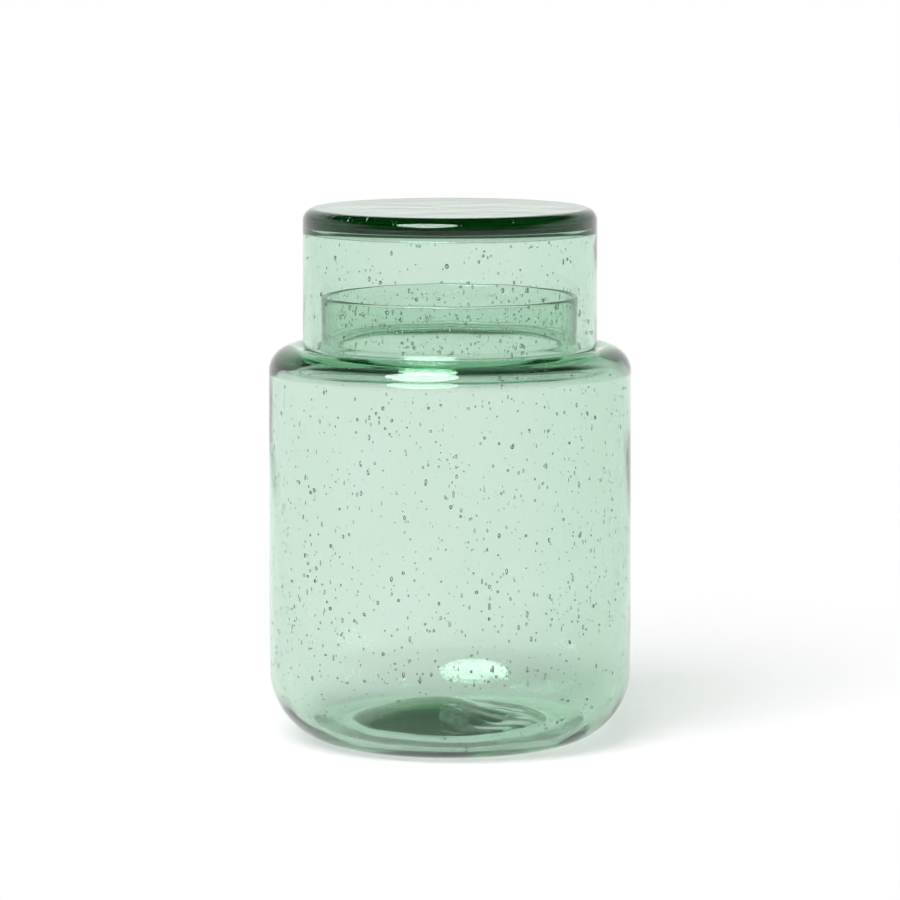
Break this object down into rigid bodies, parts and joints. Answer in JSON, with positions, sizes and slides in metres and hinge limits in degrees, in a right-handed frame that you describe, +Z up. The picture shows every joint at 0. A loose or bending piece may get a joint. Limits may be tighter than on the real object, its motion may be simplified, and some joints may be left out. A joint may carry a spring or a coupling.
{
  "type": "apothecary jar",
  "caption": "Straight-sided jar of green-tinted blown glass with fine bubbles, a rounded heel and shoulder and a short open neck, under a flat-topped glass lid that lifts off.",
  "frame": {"origin": "middle of the foot, in the plane that the jar stands on", "axes": "+Z up along the axis that the jar and its lid are turned about; every direction across it is alike"},
  "size_m": [0.1, 0.1, 0.148],
  "materials": {
    "jar_glass": "clear green-tinted glass with fine bubbles, polished",
    "lid_glass": "clear green-tinted glass with fine bubbles, polished"
  },
  "bodies": {
    "jar": {"jar": "jar_glass"},
    "lid": {"lid": "lid_glass"}
  },
  "joints": [
    {"name": "lid_lift", "type": "slide", "parent": "jar", "child": "lid", "axis": [0, 0, 1], "range_m": [0, 0.08]}
  ]
}
